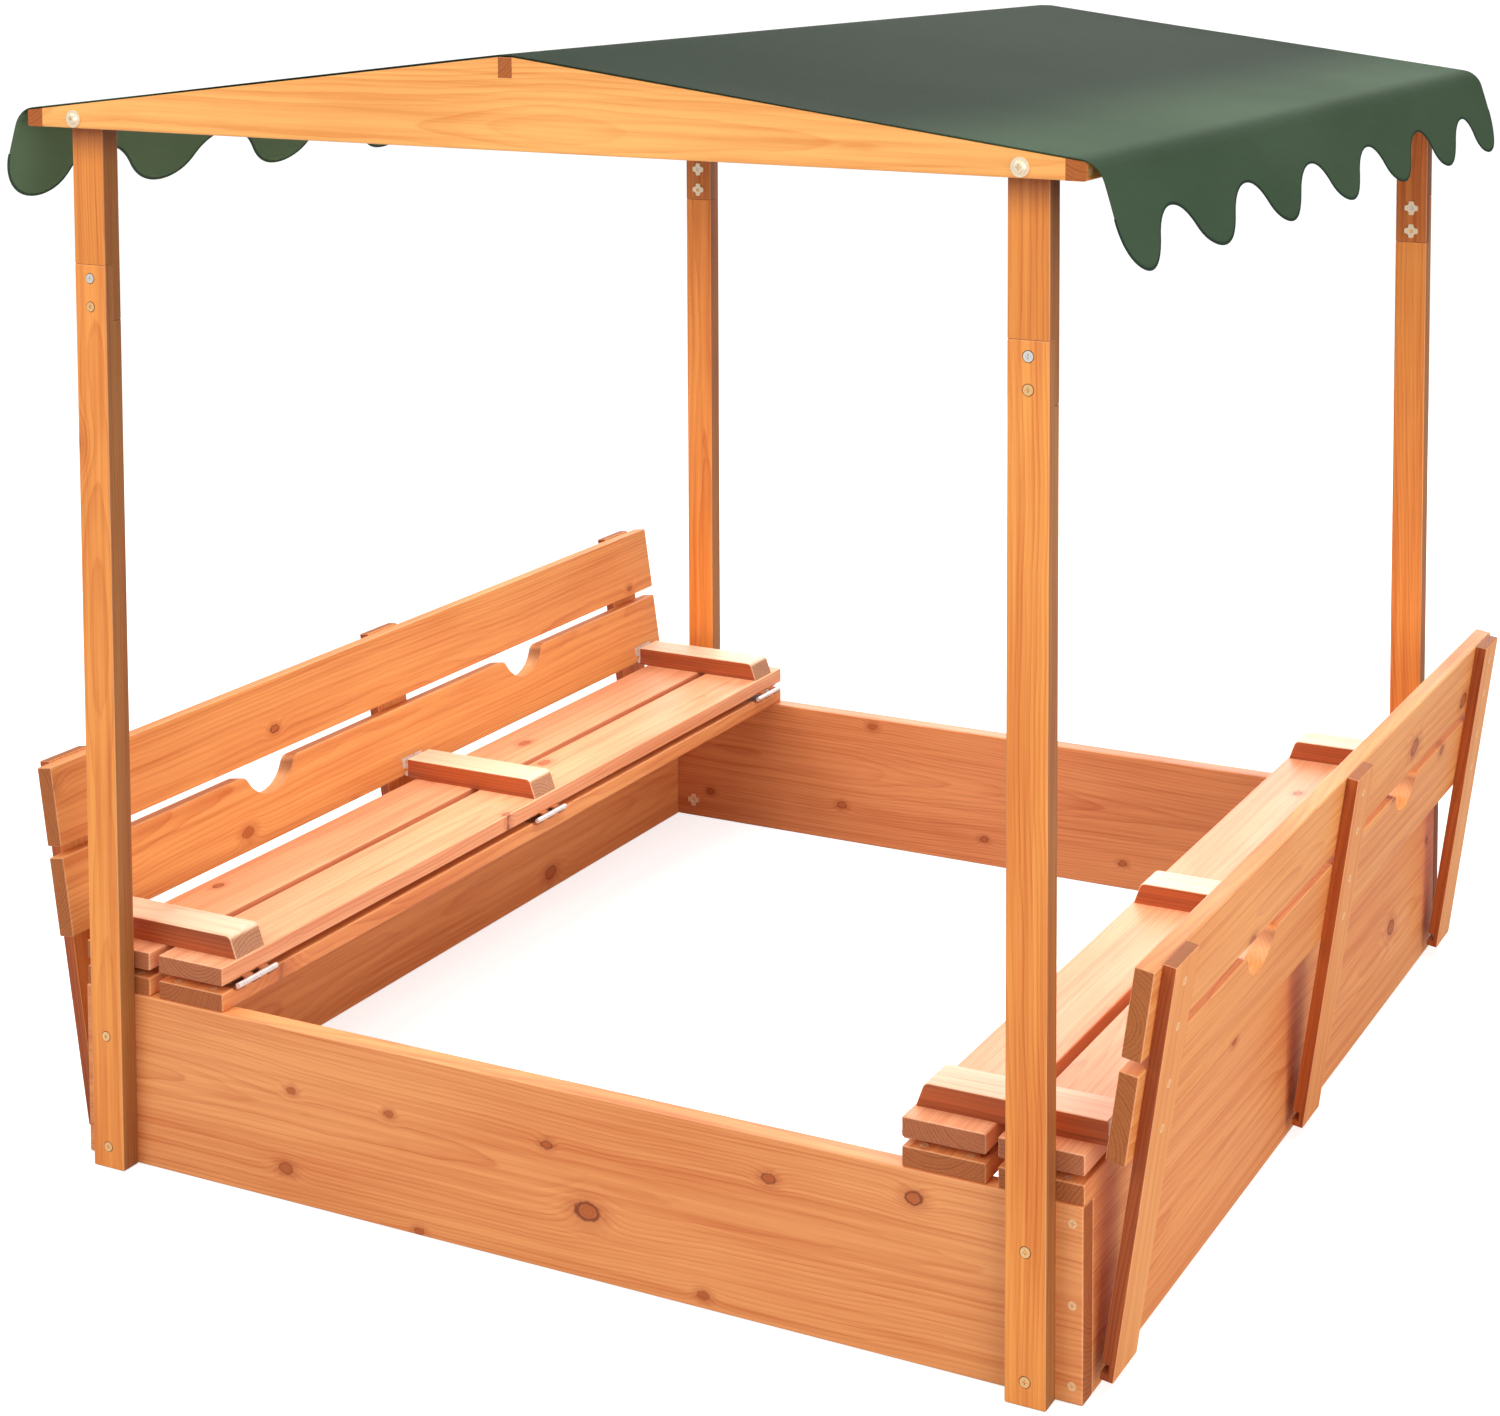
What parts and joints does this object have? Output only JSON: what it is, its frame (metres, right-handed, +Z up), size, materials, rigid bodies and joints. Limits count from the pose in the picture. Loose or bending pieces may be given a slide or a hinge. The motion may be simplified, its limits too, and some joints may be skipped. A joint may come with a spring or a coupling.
{
  "type": "covered sandbox",
  "caption": "Square wooden sandbox whose folding slatted cover opens into two facing benches with backrests, under a fabric gable roof on posts.",
  "frame": {"origin": "centre of the square footprint, on the ground under the walls", "axes": "+X towards the right-hand bench, +Y from the front to the back, +Z up"},
  "size_m": [1.3416, 1.2696, 1.2179],
  "materials": {
    "cedar_boards": "oiled cedar, fine straight grain",
    "cedar_frame": "stained cedar, satin",
    "canopy_fabric": "coated woven polyester, matte",
    "brass_fixings": "yellow passivated, satin",
    "zinc_fixings": "zinc plated, satin",
    "hinge_steel": "bright zinc plated",
    "rest_rubber": "matte black rubber"
  },
  "bodies": {
    "frame": {"canopy": "canopy_fabric", "frame_screws": "zinc_fixings", "front_gable": "cedar_frame", "front_left_lower_post": "cedar_frame", "front_left_upper_post": "cedar_frame", "front_right_lower_post": "cedar_frame", "front_right_upper_post": "cedar_frame", "front_wall": "cedar_boards", "gable_bolts": "zinc_fixings", "left_eave_beam": "cedar_frame", "left_fixed_hinge_leaves": "hinge_steel", "left_inner_fixed_slat": "cedar_boards", "left_outer_fixed_slat": "cedar_boards", "left_wall": "cedar_boards", "post_base_bolts": "brass_fixings", "post_joint_bolts": "zinc_fixings", "rear_gable": "cedar_frame", "rear_left_lower_post": "cedar_frame", "rear_left_upper_post": "cedar_frame", "rear_right_lower_post": "cedar_frame", "rear_right_upper_post": "cedar_frame", "rear_wall": "cedar_boards", "ridge_beam": "cedar_frame", "right_eave_beam": "cedar_frame", "right_fixed_hinge_leaves": "hinge_steel", "right_inner_fixed_slat": "cedar_boards", "right_outer_fixed_slat": "cedar_boards", "right_wall": "cedar_boards", "seat_rest_pads": "rest_rubber", "tee_nuts": "brass_fixings"},
    "left_backrest": {"left_backrest_hinge_leaves": "hinge_steel", "left_backrest_lower_slat": "cedar_boards", "left_backrest_screws": "zinc_fixings", "left_backrest_upper_slat": "cedar_boards", "left_front_leg": "cedar_boards", "left_middle_leg": "cedar_boards", "left_rear_leg": "cedar_boards"},
    "left_seat": {"left_front_batten": "cedar_boards", "left_hinge_pins": "hinge_steel", "left_middle_batten": "cedar_boards", "left_rear_batten": "cedar_boards", "left_seat_hinge_leaves": "hinge_steel", "left_seat_inner_slat": "cedar_boards", "left_seat_outer_slat": "cedar_boards", "left_seat_screws": "zinc_fixings"},
    "right_backrest": {"right_backrest_hinge_leaves": "hinge_steel", "right_backrest_lower_slat": "cedar_boards", "right_backrest_screws": "zinc_fixings", "right_backrest_upper_slat": "cedar_boards", "right_front_leg": "cedar_boards", "right_middle_leg": "cedar_boards", "right_rear_leg": "cedar_boards"},
    "right_seat": {"right_front_batten": "cedar_boards", "right_hinge_pins": "hinge_steel", "right_middle_batten": "cedar_boards", "right_rear_batten": "cedar_boards", "right_seat_hinge_leaves": "hinge_steel", "right_seat_inner_slat": "cedar_boards", "right_seat_outer_slat": "cedar_boards", "right_seat_screws": "zinc_fixings"}
  },
  "joints": [
    {"name": "left_seat_hinge", "type": "hinge", "parent": "frame", "child": "left_seat", "pos_m": [-0.39746, 0, 0.2111], "axis": [0, 1, 0], "range_deg": [0, 180]},
    {"name": "left_backrest_hinge", "type": "hinge", "parent": "left_seat", "child": "left_backrest", "pos_m": [-0.606, 0, 0.239], "axis": [0, -1, 0], "range_deg": [0, 81.5]},
    {"name": "right_seat_hinge", "type": "hinge", "parent": "frame", "child": "right_seat", "pos_m": [0.39746, 0, 0.2111], "axis": [0, -1, 0], "range_deg": [0, 180]},
    {"name": "right_backrest_hinge", "type": "hinge", "parent": "right_seat", "child": "right_backrest", "pos_m": [0.606, 0, 0.239], "axis": [0, 1, 0], "range_deg": [0, 81.5]}
  ],
  "couplings": [
    {"joint": "left_backrest_hinge", "follows": "left_seat_hinge", "ratio": 0.45277},
    {"joint": "right_backrest_hinge", "follows": "right_seat_hinge", "ratio": 0.45277}
  ]
}
